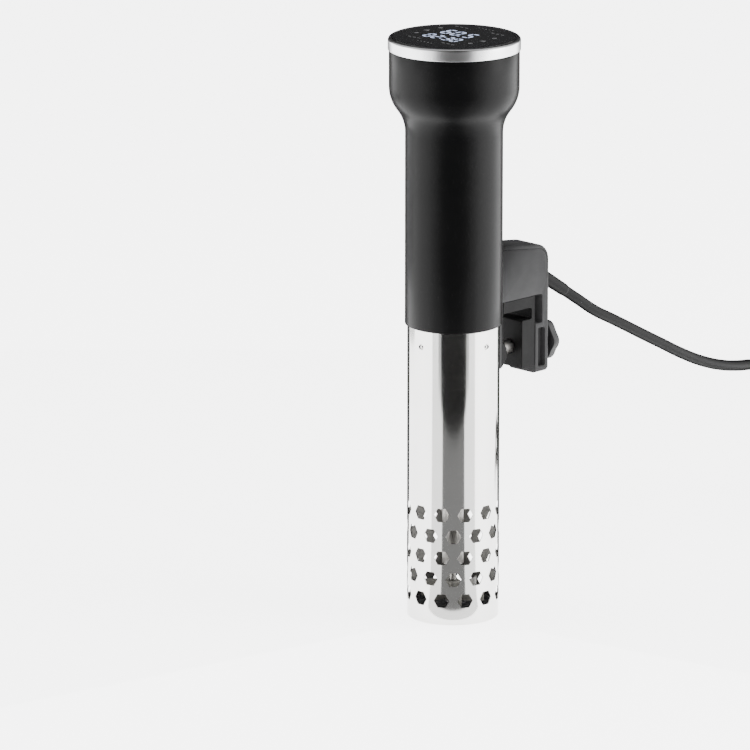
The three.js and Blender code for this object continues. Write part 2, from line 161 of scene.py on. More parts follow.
MAT = {
    "satin_black": material("satin_black", (0.0014, 0.0014, 0.0015), 0.31, grain=(2600, 0.2, 5e-5),
                            mottle=(60, 0.12), smudge=(45, 0.03), Specular_IOR_Level=0.08),
    "satin_ring": material("satin_ring", (0.76, 0.76, 0.77), 0.28, 1.0, grain=(5200, 0.04, 2e-5),
                           mottle=(120, 0.02), smudge=(90, 0.015)),
    # a darker copy of the ring's satin metal, for painted shade on the faces that look up
    "ring_painted_shade": material("ring_painted_shade", (0.16, 0.16, 0.163), 0.3, 1.0, grain=(5200, 0.04, 2e-5),
                         mottle=(120, 0.02), smudge=(90, 0.015)),
    "black_glass": material("black_glass", (0.0065, 0.0065, 0.007), 0.08, smudge=(35, 0.02),
                            mottle=(40, 0.1), Specular_IOR_Level=0.2),
    "polished_steel": material("polished_steel", (0.66, 0.655, 0.64), 0.09, 1.0,
                               grain=(900, 0.05, 3e-5), mottle=(90, 0.02), smudge=(30, 0.03)),
    "screw_steel": material("screw_steel", (0.24, 0.235, 0.225), 0.4, 1.0, grain=(1800, 0.15, 4e-5),
                            mottle=(150, 0.05), smudge=(90, 0.05)),
    "wet_steel": material("wet_steel", (0.3, 0.29, 0.275), 0.3, 1.0, grain=(1500, 0.15, 5e-5),
                          mottle=(80, 0.06), smudge=(60, 0.06)),
    # a darker, rougher copy of the sleeve's steel, for painted shade on the inner faces
    "sleeve_inside_painted_shade": material("sleeve_inside_painted_shade", (0.13, 0.127, 0.12), 0.42, 1.0, grain=(1500, 0.2, 5e-5),
                              mottle=(80, 0.08), smudge=(60, 0.06)),
    "bracket_grey": material("bracket_grey", (0.02, 0.02, 0.0205), 0.5, grain=(3800, 0.3, 5e-5),
                             mottle=(90, 0.1), smudge=(60, 0.05), Specular_IOR_Level=0.06),
    "knob_grey": material("knob_grey", (0.009, 0.009, 0.0095), 0.5, grain=(3600, 0.3, 5e-5),
                          mottle=(90, 0.1), smudge=(60, 0.05), Specular_IOR_Level=0.25),
    "jaw_rubber": material("jaw_rubber", (0.0022, 0.0022, 0.0023), 0.6, grain=(2400, 0.35, 6e-5),
                           mottle=(100, 0.12), smudge=(70, 0.05), Specular_IOR_Level=0.1),
    "cord_rubber": material("cord_rubber", (0.0012, 0.0012, 0.0013), 0.42, grain=(1800, 0.3, 6e-5),
                            mottle=(90, 0.12), smudge=(50, 0.05), Specular_IOR_Level=0.07),
    "plug_metal": material("plug_metal", (0.76, 0.74, 0.68), 0.18, 1.0, grain=(2200, 0.15, 3e-5),
                           mottle=(150, 0.05), smudge=(90, 0.05)),
    "brass": material("brass", (0.66, 0.5, 0.22), 0.28, 1.0, grain=(2600, 0.2, 3e-5),
                      mottle=(120, 0.06), smudge=(90, 0.05)),
    "dark_plastic": material("dark_plastic", (0.02, 0.02, 0.022), 0.45, grain=(2500, 0.3, 6e-5),
                             mottle=(80, 0.12), smudge=(60, 0.05)),
    "white_nylon": material("white_nylon", (0.16, 0.155, 0.14), 0.5, grain=(1900, 0.2, 6e-5),
                            mottle=(70, 0.05), smudge=(60, 0.05)),
    "board_green": material("board_green", (0.015, 0.11, 0.045), 0.4, grain=(1400, 0.4, 8e-5),
                            mottle=(260, 0.3), smudge=(80, 0.05)),
    "bare_aluminium": material("bare_aluminium", (0.62, 0.63, 0.64), 0.36, 1.0,
                               grain=(1600, 0.2, 5e-5), mottle=(90, 0.05), smudge=(70, 0.06)),
    "seal_rubber": material("seal_rubber", (0.02, 0.02, 0.021), 0.55, grain=(2400, 0.3, 6e-5),
                            mottle=(90, 0.12), smudge=(70, 0.05)),
}
SLOT_OF = {part["node"]: part["material_slot"] for part in frame["record"]["subparts"]}
for node, holder in frame["nodes"].items():
    holder.data.materials.clear()
    holder.data.materials.append(MAT[SLOT_OF[node]])


GLOW_BASE = 0.06  # a lit mark's own colour under room light, as a share of its glow


def glow(name, color, strength):
    """A lit mark behind the glass, a little uneven from place to place."""
    made = bpy.data.materials.new(name)
    made.use_nodes = True
    nodes, links = made.node_tree.nodes, made.node_tree.links
    shader = nodes["Principled BSDF"]
    shader.inputs["Base Color"].default_value = (*[c * GLOW_BASE for c in color], 1)
    shader.inputs["Roughness"].default_value = 0.3
    shader.inputs["Emission Strength"].default_value = strength
    texture = nodes.new("ShaderNodeTexNoise")
    texture.inputs["Scale"].default_value = 700
    links.new(nodes.new("ShaderNodeTexCoord").outputs["Object"], texture.inputs["Vector"])
    mix = nodes.new("ShaderNodeMix")
    mix.data_type = "RGBA"
    mix.inputs[6].default_value = (*[c * 0.75 for c in color], 1)
    mix.inputs[7].default_value = (*color, 1)
    links.new(texture.outputs["Fac"], mix.inputs["Factor"])
    links.new(mix.outputs[2], shader.inputs["Emission Color"])
    return made


MAT["lit"] = glow("lit_digits", (0.62, 0.72, 1.0), 1.5)
MAT["mark"] = glow("grey_marks", (0.4, 0.4, 0.42), 0.28)


# ---------------------------------------------------------------- mesh helpers
def mesh_from(bm, name):
    """Turns a bmesh into a mesh, and lets the bmesh go."""
    mesh = bpy.data.meshes.new(name)
    bm.to_mesh(mesh)
    bm.free()
    return mesh


def skin(bm, rings):
    """Joins rings of corners one after another, and closes both ends."""
    for low, high in zip(rings, rings[1:]):
        for i in range(len(low)):
            j = (i + 1) % len(low)
            bm.faces.new((low[i], low[j], high[j], high[i]))
    bm.faces.new(rings[0][::-1])
    bm.faces.new(rings[-1])


def link(name, mesh, finish, smooth=35):
    """Puts a mesh in the scene with one finish. Edges sharper than the angle stay sharp."""
    obj = bpy.data.objects.new(name, mesh)
    bpy.context.collection.objects.link(obj)
    mesh.materials.clear()
    mesh.materials.append(MAT[finish])
    mesh.shade_smooth()
    mesh.set_sharp_from_angle(angle=math.radians(smooth))
    return obj


def settle(obj):
    """Applies the object's modifiers."""
    graph = bpy.context.evaluated_depsgraph_get()
    mesh = bpy.data.meshes.new_from_object(obj.evaluated_get(graph))
    obj.modifiers.clear()
    obj.data = mesh


def cut(obj, *cutters):
    """Takes each cutter out of the piece, and deletes the cutter."""
    for cutter in cutters:
        boolean = obj.modifiers.new("cut", "BOOLEAN")
        boolean.operation = "DIFFERENCE"
        boolean.solver = "EXACT"
        boolean.object = cutter
        settle(obj)
        bpy.data.objects.remove(cutter)


def bevel(obj, width, segments=3, angle=35):
    """Rounds every edge sharper than the angle, by width mm, and shades it smooth."""
    made = obj.modifiers.new("bevel", "BEVEL")
    made.width = width * MM
    made.segments = segments
    made.limit_method = "ANGLE"
    made.angle_limit = math.radians(angle)
    made.harden_normals = True
    settle(obj)


def rounded(points, steps=6):
    """Fillets the corners of a closed outline of (x, y, radius) points, in mm."""
    out = []
    count = len(points)
    for i, (x, y, radius) in enumerate(points):
        here = Vector((x, y))
        if radius <= 0:
            out.append((x, y))
            continue
        before = (Vector(points[i - 1][:2]) - here).normalized()
        after = (Vector(points[(i + 1) % count][:2]) - here).normalized()
        half = before.angle(after) / 2
        reach = radius / math.tan(half)
        centre = here + (before + after).normalized() * radius / math.sin(half)
        start, end = here + before * reach - centre, here + after * reach - centre
        turn = math.pi - 2 * half
        for step in range(steps + 1):
            t = step / steps
            arm = (start * math.sin((1 - t) * turn) + end * math.sin(t * turn)) / math.sin(turn)
            out.append(tuple(centre + arm))
    return out


def lathe(name, profile, finish, segments=160, smooth=35, closed=True):
    """Turns a profile of (radius, z) in mm about Z. Radius 0 makes a pole."""
    bm = bmesh.new()
    rings = []
    for r, z in profile:
        if r < 1e-6:
            rings.append([bm.verts.new((0, 0, z * MM))])
        else:
            rings.append([bm.verts.new((r * MM * math.cos(2 * math.pi * i / segments),
                                        r * MM * math.sin(2 * math.pi * i / segments), z * MM))
                          for i in range(segments)])
    pairs = list(zip(rings, rings[1:]))
    if closed:
        pairs.append((rings[-1], rings[0]))
    for low, high in pairs:
        if len(low) == 1 and len(high) == 1:
            continue
        for i in range(segments):
            j = (i + 1) % segments
            if len(low) == 1:
                bm.faces.new((low[0], high[j], high[i]))
            elif len(high) == 1:
                bm.faces.new((low[i], low[j], high[0]))
            else:
                bm.faces.new((low[i], low[j], high[j], high[i]))
    bmesh.ops.recalc_face_normals(bm, faces=bm.faces)
    return link(name, mesh_from(bm, name), finish, smooth)


def prism(name, outline, low, high, finish, smooth=35):
    """An outline of (y, z) points in mm, made solid between two places along X."""
    bm = bmesh.new()
    skin(bm, [[bm.verts.new((x * MM, y * MM, z * MM)) for y, z in outline] for x in (low, high)])
    bmesh.ops.recalc_face_normals(bm, faces=bm.faces)
    return link(name, mesh_from(bm, name), finish, smooth)


def box(name, low, high, finish="dark_plastic"):
    """A block between two corners in mm."""
    (x0, y0, z0), (x1, y1, z1) = low, high
    return prism(name, [(y0, z0), (y1, z0), (y1, z1), (y0, z1)], x0, x1, finish)


def placed(obj, matrix):
    """Moves the mesh itself, so that the object's own place stays at the origin."""
    obj.data.transform(matrix)
    return obj


def along(start, direction):
    """The transform that lays a piece's own Z along a direction, from a start in mm."""
    turn = Vector(direction).to_track_quat("Z", "Y").to_matrix().to_4x4()
    return Matrix.Translation(Vector(start) * MM) @ turn


def stand_for(piece, body, *nodes):
    """Shows a piece in place of CAD nodes, on their body."""
    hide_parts(*nodes)
    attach(piece, body)
    return piece


# ---------------------------------------------------------------- cord
CORD_R = 3.7
EXIT = Vector((0, 77.2, 214.35))  # where the cord leaves the bracket's back
EXIT_FALL = math.radians(32.3)
EXIT_WAY = Vector((0, math.cos(EXIT_FALL), -math.sin(EXIT_FALL)))
RELIEF_LENGTH = 31.3
COIL_CENTRE = Vector((11.9, 427))
COIL_OUTER = 44.7
COIL_STEP = 7.4  # from one track to the next, across and up
COIL_LOW = 3.9
COIL_TURNS = 3.5
ROUTE = [  # from the bracket's back, down to the floor and into the coil
    (0, 103.9, 197.4), (0, 116.2, 189.5), (-0.4, 133, 178.9), (-1.1, 149.1, 170.8),
    (-2, 164.7, 162.9), (-3.2, 180.7, 154.7), (-5.2, 202.7, 143.7), (-8, 225.6, 132.4),
    (-11.5, 249.4, 122.2), (-15.8, 274.2, 114), (-19.8, 295, 109.1), (-24.4, 316.6, 105),
    (-26.9, 327.6, 101), (-28.5, 336.8, 93.6), (-29.5, 343.4, 83.7), (-30.2, 348.3, 72.7),
    (-30.8, 353.1, 61.8), (-31.3, 358, 50.8), (-31.8, 362.8, 39.8), (-32.2, 368.1, 29.1),
    (-32.6, 375.9, 20.1), (-32.8, 386.2, 14), (-32.8, 400, 11.3),
]
PLUG_TAIL = 58  # how far in front of the coil's centre the plug begins


def eased(value, low, high):
    """0 below low and 1 above high, with a smooth rise between them."""
    t = min(1, max(0, (value - low) / (high - low)))
    return t * t * (3 - 2 * t)


def coil_points():
    """Four tracks: outside on top, inside on top, inside below, outside below, clockwise."""
    points = []
    steps = 28
    for i in range(int(COIL_TURNS * steps) + 1):
        turn = i / steps
        angle = math.pi - 2 * math.pi * turn
        inward = eased(turn, 0.7, 1.0) - eased(turn, 2.5, 2.76)
        down = eased(turn, 1.58, 1.86)
        radius = COIL_OUTER - COIL_STEP * inward
        points.append((COIL_CENTRE.x + radius * math.cos(angle),
                       COIL_CENTRE.y + radius * math.sin(angle),
                       COIL_LOW + COIL_STEP * (1 - down)))
    return points


def cord_points():
    """The cord's whole line: exit, fall, coil, and the tail that rises into the plug."""
    start = EXIT + EXIT_WAY * (RELIEF_LENGTH - 6)
    tail_x = COIL_CENTRE.x + COIL_OUTER
    plug_y = COIL_CENTRE.y - PLUG_TAIL
    tail = [(tail_x, plug_y + behind, z) for behind, z in (
        (46, 3.9), (38, 4.5), (30, 6), (23, 7.7), (15, 9.5), (8, 10.7), (3, 11), (-3, 11))]
    return [tuple(start)] + ROUTE + [(-32.8, 413, 11.3)] + coil_points() + tail


def make_cord():
    data = bpy.data.curves.new("mains_cord", "CURVE")
    data.dimensions = "3D"
    data.bevel_depth = CORD_R * MM
    data.bevel_resolution = 6
    data.resolution_u = 8
    data.use_fill_caps = True
    spline = data.splines.new("BEZIER")
    points = cord_points()
    spline.bezier_points.add(len(points) - 1)
    for point, place in zip(spline.bezier_points, points):
        point.co = Vector(place) * MM
        point.handle_left_type = point.handle_right_type = "AUTO"
    data.materials.append(MAT["cord_rubber"])
    cord = bpy.data.objects.new("mains_cord", data)
    bpy.context.collection.objects.link(cord)
    return stand_for(cord, "housing", "power_cord", "cord_coil", "cord_tail")


def make_relief():
    """A plain moulded sleeve, hardly thicker than the cord."""
    profile = rounded([
        (0, 0.4, 0), (4.5, 0.4, 0), (4.4, 9, 4), (4.1, RELIEF_LENGTH - 1.5, 2), (3.85, RELIEF_LENGTH, 0.2),
        (0, RELIEF_LENGTH, 0)], 5)
    relief = lathe("cord_strain_relief", profile, "cord_rubber", 64, closed=False)
    placed(relief, along(EXIT - EXIT_WAY * 0.2, EXIT_WAY))
    cut(relief, box("slab_cut", (-9, 60, 190), (9, CLAMP_BACK + 0.3, 232)))
    return stand_for(relief, "housing", "strain_relief")


def make_plug():
    """A moulded plug body with a ribbed neck, and two round pins."""
    tail_x = COIL_CENTRE.x + COIL_OUTER
    start = (tail_x, COIL_CENTRE.y - PLUG_TAIL, 11)
    way = (0, -1, 0)
    profile = [(0, 0), (4.2, 0), (4.6, 0.5)]
    for i in range(3):
        z = 2 + i * 4
        wider = 0.15 * i
        profile += [(4.7 + wider, z), (4.1 + wider, z + 0.5), (4.1 + wider, z + 1.4), (4.9 + wider, z + 2)]
    profile += [(5.4, 14), (6.4, 15.4), (8.2, 17.6), (9.8, 20.5), (10.7, 24), (11, 27), (11, 35.2),
                (10.4, 36), (0, 36)]
    body = placed(lathe("plug_body_moulded", profile, "cord_rubber", 96, closed=False), along(start, way))
    stand_for(body, "housing", "plug_body")
    pins = []
    for i, side in enumerate((-1, 1)):
        pin = lathe(f"plug_contact_{i + 1}", [
            (0, 36.2), (2, 36.2), (2, 50.4), (1.7, 51.4), (1, 52), (0, 52)], "plug_metal", 40, closed=False)
        placed(pin, Matrix.Translation((5.5 * side * MM, 0, 0)))
        placed(pin, along(start, way))
        stand_for(pin, "housing", f"plug_pin_{i + 1}")
        pins.append(pin)
    return [body, *pins]


def make_tie():
    """A strap bent over the coil, open underneath."""
    low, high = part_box("cord_tie")
    inner, outer = low[1] / MM + 0.1, high[1] / MM - 0.1
    top = high[2] / MM
    outline = rounded([
        (inner, 0.2, 0.3), (inner + 1.0, 0.2, 0.3), (inner + 1.0, top - 1.1, 2.0),
        (outer - 1.0, top - 1.1, 2.0), (outer - 1.0, 0.2, 0.3), (outer, 0.2, 0.3),
        (outer, top, 3.0), (inner, top, 3.0)])
    tie = prism("cord_tie_strap", outline, low[0] / MM, high[0] / MM, "cord_rubber")
    bevel(tie, 0.25)
    return stand_for(tie, "housing", "cord_tie")


cord = make_cord()
relief = make_relief()
plug = make_plug()
tie = make_tie()


# ---------------------------------------------------------------- body
RING_INNER = 40.1
RING_SHADE_RISE = 0.35  # faces of the ring that look up more than this get the darker copy of its metal, as painted shade


def neck(inset):
    """The S-curve from the body up to the head, as two arcs."""
    steps = 14
    low = [(BODY_R - inset + ARC_R * (1 - math.cos(a)), NECK_Z + ARC_R * math.sin(a))
           for a in (ARC_ANGLE * i / steps for i in range(steps + 1))]
    high = [(HEAD_R - inset - ARC_R * (1 - math.cos(a)), HEAD_Z - ARC_R * math.sin(a))
            for a in (ARC_ANGLE * i / steps for i in range(steps, -1, -1))]
    return low + high


def make_body():
    """One open shell, turned: straight body, S-curve, wider head."""
    edge = 0.5
    top = RING_LOW - 0.3
    inner = BODY_R - BODY_WALL
    profile = [(inner, BODY_LOW), (BODY_R - edge, BODY_LOW), (BODY_R - 0.15, BODY_LOW + 0.15),
               (BODY_R, BODY_LOW + edge), (BODY_R, 240), (BODY_R, 290)]
    profile += neck(0)
    profile += [(HEAD_R, 362), (HEAD_R, top - 0.5), (HEAD_R - 0.15, top - 0.15), (HEAD_R - 0.5, top),
                (HEAD_R - BODY_WALL, top)]
    profile += neck(BODY_WALL)[::-1]
    body = lathe("body_shell", profile, "satin_black", 224)
    stand_for(body, "housing", "housing_shell")


def make_ring():
    """The satin ring, with painted shade: a darker copy of its metal on what looks up."""
    profile = rounded([
        (RING_INNER, RING_LOW, 0), (RING_R, RING_LOW, 0.35), (RING_R, TOP - 0.7, 2.0),
        (RING_INNER, TOP - 0.5, 0.2)], 9)
    ring = lathe("bezel_metal_ring", profile, "satin_ring", 224)
    # painted shade: faces that look up get the darker copy of the metal
    ring.data.materials.append(MAT["ring_painted_shade"])
    for face in ring.data.polygons:
        if face.normal.z > RING_SHADE_RISE:
            face.material_index = 1
    stand_for(ring, "housing", "bezel_ring")


SEGMENTS = {
    "0": "abcdef", "1": "bc", "2": "abdeg", "3": "abcdg", "5": "acdfg", "6": "acdefg", "8": "abcdefg",
}
BARS = {  # centre and direction of each bar, in units of the digit's width and half height
    "a": (0, 1, True), "g": (0, 0, True), "d": (0, -1, True),
    "b": (0.5, 0.5, False), "c": (0.5, -0.5, False), "e": (-0.5, -0.5, False), "f": (-0.5, 0.5, False),
}


def flat_shape(bm, outline, height):
    """A thin plate from an outline in mm, on the glass."""
    skin(bm, [[bm.verts.new((x * MM, y * MM, z * MM)) for x, y in outline]
              for z in (GLASS_FACE, GLASS_FACE + height)])


def bar(bm, x, y, length, thick, flat, height=0.05):
    """One bar with pointed ends, lying flat or standing upright."""
    half, side = length / 2, thick / 2
    outline = [(-half, 0), (-half + side, -side), (half - side, -side), (half, 0),
               (half - side, side), (-half + side, side)]
    if not flat:
        outline = [(-b, a) for a, b in outline]
    flat_shape(bm, [(x + a, y + b) for a, b in outline], height)


def number(bm, text, x, y, width, height, thick):
    """Digits of seven bars, written from x to the right."""
    for mark in text:
        if mark in ".:":
            for dy in ((-height / 2,) if mark == "." else (-height / 4, height / 4)):
                bar(bm, x - width * 0.05, y + dy, thick * 1.5, thick * 1.3, True)
            x += width * 0.55
            continue
        for key in SEGMENTS[mark]:
            dx, dy, flat = BARS[key]
            long = width if flat else height / 2
            bar(bm, x + width / 2 + dx * width, y + dy * height / 2, long * 0.88, thick, flat)
        x += width * 1.6


def disc_outline(x, y, radius, count=14):
    turns = [2 * math.pi * i / count for i in range(count)]
    return [(x + radius * math.cos(turn), y + radius * math.sin(turn)) for turn in turns]


def marks_mesh(name, build, finish):
    """One piece of the display, drawn by a function. It stands for no CAD node."""
    bm = bmesh.new()
    build(bm)
    bmesh.ops.recalc_face_normals(bm, faces=bm.faces)
    piece = link(name, mesh_from(bm, name), finish)
    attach(piece, "housing")
    return piece


def lit_numbers(bm):
    number(bm, "60.5", -14, 6.5, 5.2, 11, 1.5)
    number(bm, "02:30", -15, -9.5, 4.4, 9, 1.3)


def grey_marks(bm):
    """Plain bars, dots and a triangle on each side."""
    height = 0.04
    for side in (-1, 1):
        triangle = [(side * 25 + a, 1 + b) for a, b in ((-2.4, -1.6), (2.4, -1.6), (0, 2.2))]
        flat_shape(bm, triangle[::side], height)
        for i in range(3):
            bar(bm, side * 16 + (i - 1) * 4.2, 23, 3, 0.9, True, height)
            bar(bm, side * 15 + (i - 1) * 4.2, -21, 3, 0.9, True, height)
    for i in range(5):
        flat_shape(bm, disc_outline(-6 + 3 * i, -27, 0.55), height)
        flat_shape(bm, disc_outline(-6 + 3 * i, 29, 0.55), height)
    for x, y in ((24, -10), (-24, -10), (24, 12), (-24, 12)):
        flat_shape(bm, disc_outline(x, y, 1.5), height)


def make_display():
    """The glass, and the lit and grey marks on its face."""
    profile = rounded([(0, GLASS_LOW, 0), (GLASS_R, GLASS_LOW, 0.3), (GLASS_R, GLASS_FACE - 0.25, 0.35),
                       (36, GLASS_FACE, 8), (0, GLASS_FACE, 0)], 5)
    glass = lathe("display_cover_glass", profile, "black_glass", 224, closed=False)
    stand_for(glass, "housing", "display_glass")
    marks_mesh("readout_digits", lit_numbers, "lit")
    marks_mesh("readout_marks", grey_marks, "mark")


# ---------------------------------------------------------------- sleeve
SLEEVE_WALL = 0.8
SLEEVE_LEVELS = (80.5, 130, 170)  # rings between the holes and the dimples
SLEEVE_FOOT = 8.5  # the ring under the lowest row of holes
SHADE_INWARD = -0.5  # faces that look in more than this get the darker copy of the steel, as painted shade
HOLE_FLATS = 9
HOLES_ROUND = 12
HOLE_ROWS = (16, 30.3, 44.6, 58.9, 73.2)
DIMPLE_Z = 183
DIMPLE_R = 2.6
DIMPLE_RING = 1.25
DIMPLE_WIDTH = 0.42
DIMPLE_DEPTH = 1.15
DIMPLE_STEP = 0.26
DIMPLE_LEVELS = 21


def hex_cutter():
    """Every hexagonal hole as one cutter, in staggered rows."""
    bm = bmesh.new()
    corner = HOLE_FLATS / math.sqrt(3)
    for row, height in enumerate(HOLE_ROWS):
        for i in range(HOLES_ROUND):
            turn = Matrix.Rotation(2 * math.pi * (i + (row % 2) / 2) / HOLES_ROUND, 4, "Z")
            ends = []
            for x in (SLEEVE_R - 4, SLEEVE_R + 3):
                ring = []
                for k in range(6):
                    angle = math.pi * k / 3
                    place = Vector((x, corner * math.cos(angle), height + corner * math.sin(angle)))
                    ring.append(bm.verts.new(turn @ (place * MM)))
                ends.append(ring)
            skin(bm, ends)
    bmesh.ops.recalc_face_normals(bm, faces=bm.faces)
    return link("hex_cutter", mesh_from(bm, "hex_cutter"), "polished_steel")


def radial_normals(obj):
    """Gives the walls below the dimples true round normals, and leaves the cut edges flat."""
    mesh = obj.data
    normals = [None] * len(mesh.loops)
    for face in mesh.polygons:
        away = Vector((face.center.x, face.center.y, 0)).normalized()
        facing = face.normal.dot(away)
        on_wall = abs(facing) > 0.8 and abs(face.normal.z) < 0.35 and face.center.z < (DIMPLE_Z - 6) * MM
        for loop in face.loop_indices:
            place = mesh.vertices[mesh.loops[loop].vertex_index].co
            if on_wall:
                out = Vector((place.x, place.y, 0)).normalized()
                normals[loop] = out if facing > 0 else -out
            else:
                normals[loop] = mesh.corner_normals[loop].vector.copy()
    mesh.normals_split_custom_set(normals)


def dimple(mesh):
    """Pushes a ring-shaped dent into the wall at each quarter turn."""
    for vertex in mesh.vertices:
        radius = math.hypot(vertex.co.x, vertex.co.y) / MM
        if abs(vertex.co.z / MM - DIMPLE_Z) > DIMPLE_R:
            continue
        angle = math.atan2(vertex.co.y, vertex.co.x)
        nearest = round(angle / (math.pi / 2)) * math.pi / 2
        off = math.hypot((angle - nearest) * SLEEVE_R, vertex.co.z / MM - DIMPLE_Z)
        if off < DIMPLE_R:
            inward = DIMPLE_DEPTH * math.exp(-((off - DIMPLE_RING) / DIMPLE_WIDTH) ** 2)
            scale = (radius - inward) / radius
            vertex.co.x *= scale
            vertex.co.y *= scale


def make_sleeve():
    """A thin tube with holes and dimples, and painted shade inside: a darker, rougher copy of the steel."""
    inner = SLEEVE_R - SLEEVE_WALL
    rise = [DIMPLE_Z - DIMPLE_R + DIMPLE_STEP * i for i in range(DIMPLE_LEVELS)]
    profile = [(inner, 0.2), (inner + 0.2, 0), (SLEEVE_R - 0.2, 0), (SLEEVE_R, 0.2),
               (SLEEVE_R, SLEEVE_FOOT)]
    profile += [(SLEEVE_R, z) for z in SLEEVE_LEVELS]
    profile += [(SLEEVE_R, z) for z in rise]
    profile += [(SLEEVE_R, SLEEVE_TOP - 0.2), (SLEEVE_R - 0.2, SLEEVE_TOP), (inner + 0.2, SLEEVE_TOP),
                (inner, SLEEVE_TOP - 0.2)]
    profile += [(inner, z) for z in reversed(rise)]
    profile += [(inner, z) for z in (*reversed(SLEEVE_LEVELS), SLEEVE_FOOT)]
    sleeve = lathe("steel_sleeve", profile, "polished_steel", 360)
    cut(sleeve, hex_cutter())
    dimple(sleeve.data)
    sleeve.data.shade_smooth()
    sleeve.data.set_sharp_from_angle(angle=math.radians(40))
    # painted shade: the inner faces get the darker copy of the steel
    sleeve.data.materials.append(MAT["sleeve_inside_painted_shade"])
    for face in sleeve.data.polygons:
        away = Vector((face.center.x, face.center.y, 0)).normalized()
        if face.normal.dot(away) < SHADE_INWARD:
            face.material_index = 1
    radial_normals(sleeve)
    stand_for(sleeve, "sleeve", "perforated_sleeve")


def make_base_cap():
    """A shallow cup with a ring of slots in its floor."""
    radius = span("base_cap", 0)[1]
    high = span("base_cap", 2)[1]
    profile = rounded([
        (0, 0, 0), (radius, 0, 0.8), (radius, high, 0.4), (radius - 2, high, 0.4), (radius - 2, 3.5, 0.6),
        (0, 3.5, 0)], 4)
    cap = lathe("base_cap_moulded", profile, "dark_plastic", 160, closed=False)
    slots = 10
    for i in range(slots):
        turn = Matrix.Rotation(2 * math.pi * i / slots, 4, "Z")
        cut(cap, placed(box("slot_cut", (13, -1.6, -2), (23, 1.6, 5)), turn))
    stand_for(cap, "sleeve", "base_cap")


# ---------------------------------------------------------------- clamp
JAW_FRONT = 30.3
JAW_PLATE = 1.9
ROOF_Z = 203.3  # the roof over the pot's rim
ARM_START = 20
ARM_TOP = 242
ARM_FALL = 0.122  # mm down for each mm back
ARM_ROUND = 2.3
SLOT_BACK = 70.1  # the slot in the leg, behind the liner
SLOT_LOW = 184
PLATE_LOW = 160
LINE_LOW = 213
LINE_WIDTH = 0.45
POCKET_FRONT, POCKET_BACK = 66.2, 72.8
POCKET_LOW, POCKET_HIGH = 155, 181
POCKET_FLOOR = 8  # how far from the middle the side pockets begin
SOCKET_TOP = 260  # the cut for the body ends above the arm
LINER_BACK = span("jaw_liner", 1)[1]
LINER_THICK = 3.1
BLOCK_FACE = 51.5  # the block round the screw
BLOCK_TOP = 188.0
LINER_DROP = 7.8  # how far the liner hangs from the roof
LEG_FACE = LINER_BACK + 0.3


def along_screw(start=0):
    """The transform that lays a piece's own Z along the clamp screw's axis, from a place in mm."""
    return Matrix.Translation((0, start * MM, SCREW_Z * MM)) @ Matrix.Rotation(-math.pi / 2, 4, "X")


def screw_bore(name, radius, low, high):
    """A cutter round the clamp screw's axis."""
    profile = [(0, low), (radius, low), (radius, high), (0, high)]
    return placed(lathe(name, profile, "dark_plastic", 48, closed=False), along_screw())


def arm_top(y):
    """The arm's top, which falls a little from the body to its back."""
    return ARM_TOP - (y - ARM_START) * ARM_FALL


def panel_line(side):
    """A fine groove in the arm's side, along its top and round its back corner."""
    back = CLAMP_BACK - ARM_ROUND
    front_top = arm_top(ARM_START) - ARM_ROUND
    back_top = arm_top(back) - ARM_ROUND
    path = rounded([
        (ARM_START, front_top, 0), (back, back_top, 9), (back, LINE_LOW, 0),
        (back - LINE_WIDTH, LINE_LOW, 0), (back - LINE_WIDTH, back_top - LINE_WIDTH, 8.6),
        (ARM_START, front_top - LINE_WIDTH, 0)], 10)
    low, high = sorted((side * (CLAMP_HALF - 0.4), side * (CLAMP_HALF + 2)))
    return prism("panel_line", path, low, high, "bracket_grey")


def make_bracket():
    """A rounded block, cut to the front plate, the jaw, the back leg, its slot and its pockets."""
    plate = JAW_FRONT + JAW_PLATE
    under = CLAMP_LOW - 1
    wide = CLAMP_HALF + 2
    bracket = prism("clamp_arm", rounded([
        (ARM_START, arm_top(ARM_START), 0), (ARM_START, CLAMP_LOW, 0), (CLAMP_BACK, CLAMP_LOW, 3),
        (CLAMP_BACK, arm_top(CLAMP_BACK), 11)], 8), -CLAMP_HALF, CLAMP_HALF, "bracket_grey")
    bevel(bracket, ARM_ROUND, 5)
    openings = [
        [(ARM_START - 1, under, 0), (JAW_FRONT, under, 0), (JAW_FRONT, ROOF_Z, 0),
         (ARM_START - 1, ROOF_Z, 0)],
        [(JAW_FRONT - 1, under, 0), (plate + 1, under, 0), (plate + 1, PLATE_LOW, 0),
         (JAW_FRONT - 1, PLATE_LOW, 0)],
        [(plate, under, 0), (LEG_FACE, under, 0), (LEG_FACE, ROOF_Z, 0), (plate, ROOF_Z, 0)],
        [(LEG_FACE - 1, SLOT_LOW, 0), (SLOT_BACK, SLOT_LOW, 1.2), (SLOT_BACK, ROOF_Z, 1.8),
         (LEG_FACE - 1, ROOF_Z, 0)],
    ]
    cutters = [prism("opening", rounded(opening), -wide, wide, "bracket_grey") for opening in openings]
    cutters.append(screw_bore("bore", 6.8, 55, 90))
    pocket = rounded([(POCKET_FRONT, POCKET_LOW, 1.2), (POCKET_BACK, POCKET_LOW, 1.2),
                      (POCKET_BACK, POCKET_HIGH, 2.2), (POCKET_FRONT, POCKET_HIGH, 1.2)], 6)
    for side in (-1, 1):
        low, high = sorted((side * POCKET_FLOOR, side * wide))
        cutters.append(prism("recess", pocket, low, high, "bracket_grey"))
        cutters.append(panel_line(side))
    cut(bracket, *cutters)
    bevel(bracket, 0.4, 2, 50)
    socket_low = BODY_LOW - 0.1
    socket_r = BODY_R + 0.15
    round_body = lathe("round_body", [(0, socket_low), (socket_r, socket_low), (socket_r, SOCKET_TOP),
                                      (0, SOCKET_TOP)], "bracket_grey", 160, closed=False)
    cut(bracket, round_body)
    stand_for(bracket, "housing", "clamp_bracket")


